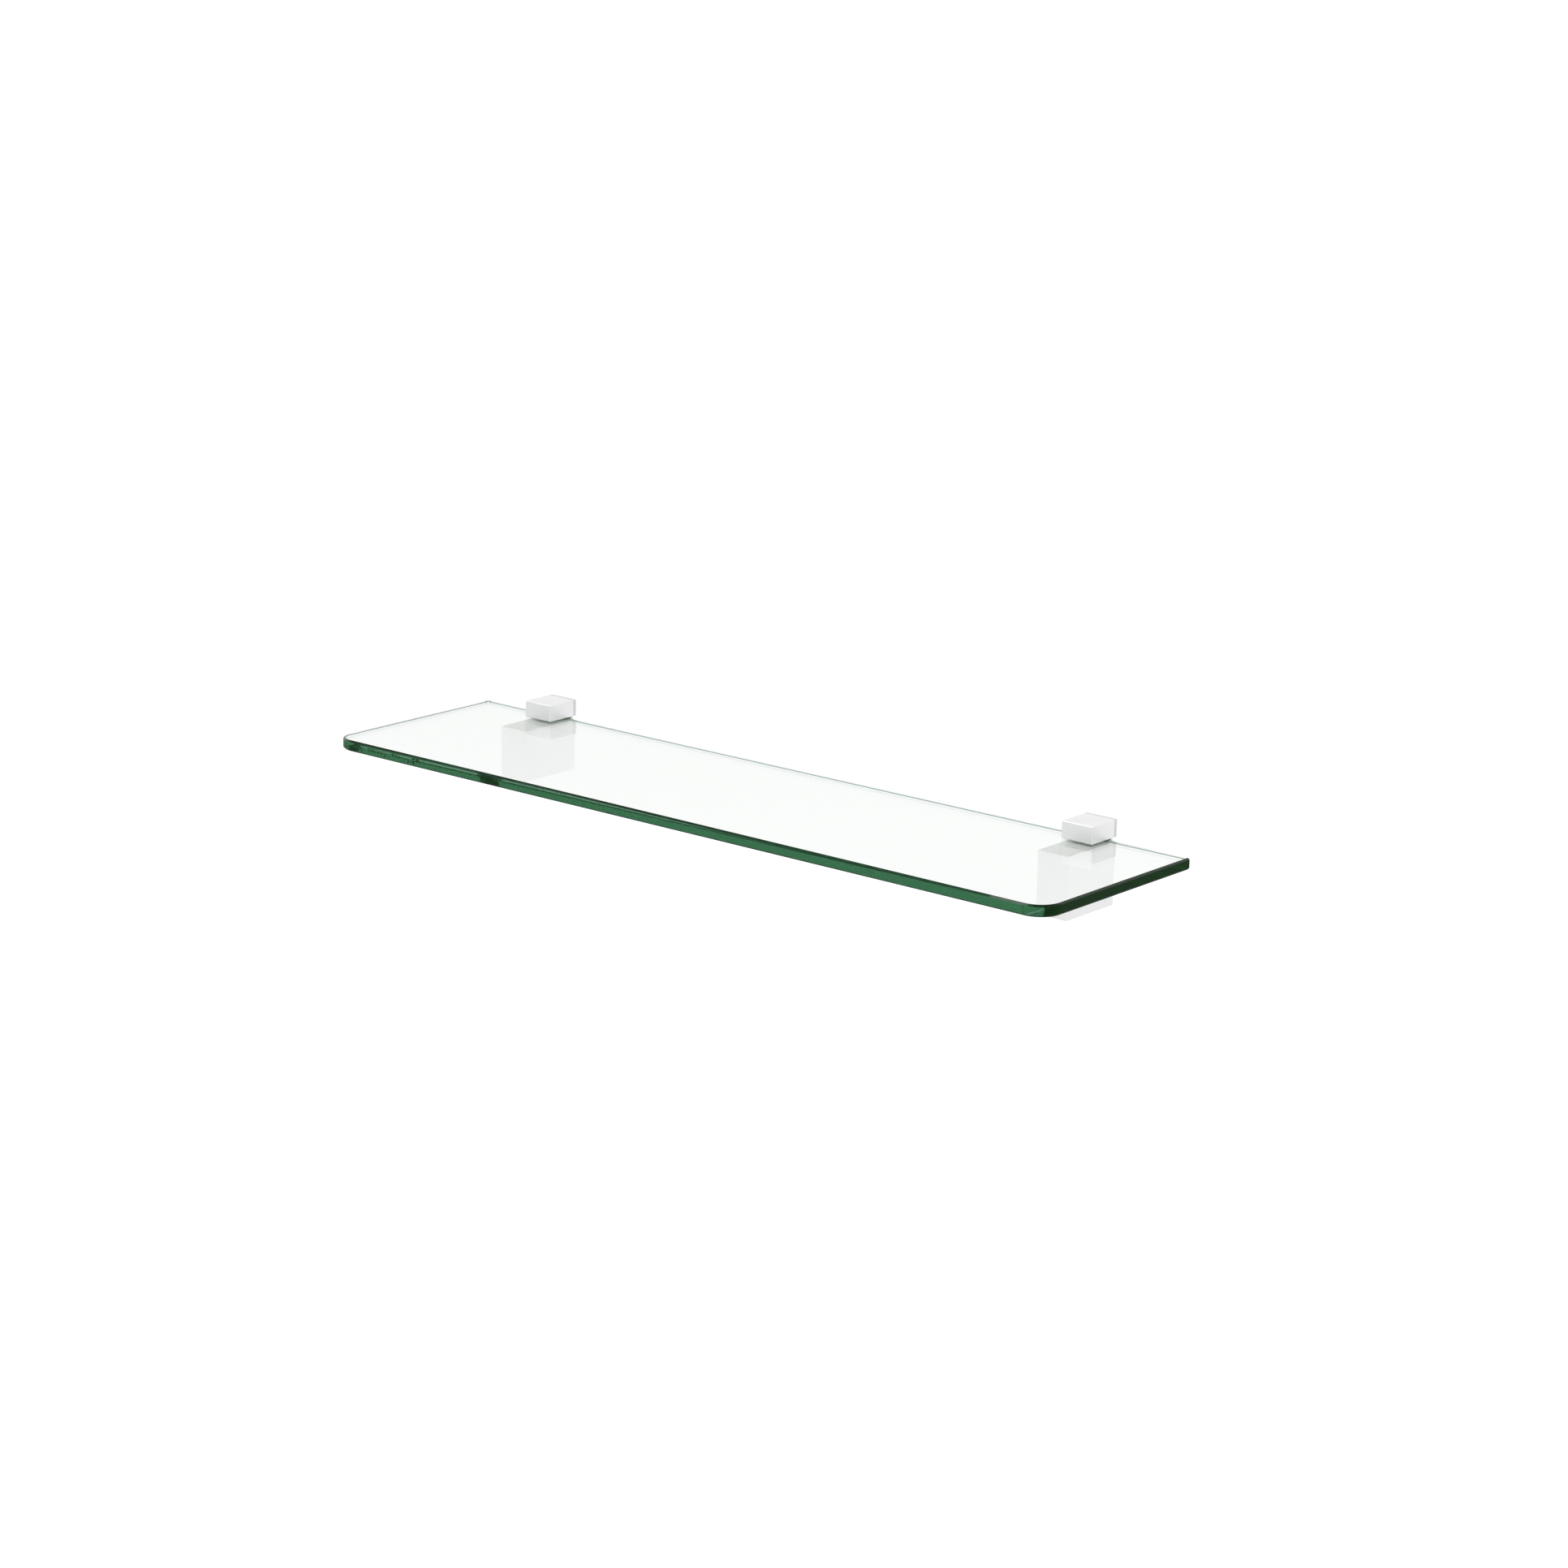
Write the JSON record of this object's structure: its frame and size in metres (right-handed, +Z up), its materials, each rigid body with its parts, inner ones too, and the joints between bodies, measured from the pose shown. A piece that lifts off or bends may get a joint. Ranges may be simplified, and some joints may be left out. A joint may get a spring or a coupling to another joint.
{
  "type": "wall shelf",
  "caption": "Clear glass wall shelf with rounded front corners, held at the back by square satin metal clamp brackets that hook on hidden wall plates.",
  "frame": {"origin": "on the wall's surface, in the middle of the row of four wall screw holes, halfway between the two brackets", "axes": "+X along the shelf, to the right as seen from the room; +Y into the wall; +Z up"},
  "size_m": [0.6096, 0.1589, 0.0567],
  "materials": {
    "clear_glass": "clear float glass, green at its ground and polished edges",
    "satin_nickel": "satin nickel plate",
    "zinc_steel": "bright zinc plate",
    "screw_steel": "plain stainless",
    "spring_steel": "blackened spring steel",
    "pad_rubber": "matt grey soft pad"
  },
  "bodies": {
    "wall_fixed": {"left_wall_plate": "zinc_steel", "left_lower_block": "satin_nickel", "left_lower_pad": "pad_rubber", "left_clamp_washer": "screw_steel", "right_wall_plate": "zinc_steel", "right_lower_block": "satin_nickel", "right_lower_pad": "pad_rubber", "right_clamp_washer": "screw_steel"},
    "panel": {"glass_panel": "clear_glass"},
    "left_jaw": {"left_upper_jaw": "satin_nickel", "left_upper_pad": "pad_rubber", "left_clamp_leg": "satin_nickel", "left_jaw_screw": "screw_steel"},
    "left_clamp": {"left_clamp_screw": "screw_steel", "left_retaining_ring": "spring_steel"},
    "left_grub": {"left_grub_screw": "screw_steel"},
    "right_jaw": {"right_upper_jaw": "satin_nickel", "right_upper_pad": "pad_rubber", "right_clamp_leg": "satin_nickel", "right_jaw_screw": "screw_steel"},
    "right_clamp": {"right_clamp_screw": "screw_steel", "right_retaining_ring": "spring_steel"},
    "right_grub": {"right_grub_screw": "screw_steel"}
  },
  "joints": [
    {"name": "glass_slide", "type": "slide", "parent": "wall_fixed", "child": "panel", "axis": [0, -1, 0], "range_m": [0, 0.03]},
    {"name": "left_clamp_turn", "type": "hinge", "parent": "wall_fixed", "child": "left_clamp", "pos_m": [-0.234, -0.013, 0], "axis": [0, 0, -1], "range_deg": [0, 1125]},
    {"name": "left_jaw_lift", "type": "slide", "parent": "wall_fixed", "child": "left_jaw", "axis": [0, 0, 1], "range_m": [0, 0.0025]},
    {"name": "left_grub_turn", "type": "hinge", "parent": "wall_fixed", "child": "left_grub", "pos_m": [-0.234, -0.0044, 0], "axis": [0, 0, -1], "range_deg": [0, 180]},
    {"name": "right_clamp_turn", "type": "hinge", "parent": "wall_fixed", "child": "right_clamp", "pos_m": [0.234, -0.013, 0], "axis": [0, 0, -1], "range_deg": [0, 1125]},
    {"name": "right_jaw_lift", "type": "slide", "parent": "wall_fixed", "child": "right_jaw", "axis": [0, 0, 1], "range_m": [0, 0.0025]},
    {"name": "right_grub_turn", "type": "hinge", "parent": "wall_fixed", "child": "right_grub", "pos_m": [0.234, -0.0044, 0], "axis": [0, 0, -1], "range_deg": [0, 180]}
  ],
  "couplings": [
    {"joint": "left_clamp_turn", "follows": "left_jaw_lift", "rad_per_m": 7854},
    {"joint": "right_clamp_turn", "follows": "right_jaw_lift", "rad_per_m": 7854}
  ]
}
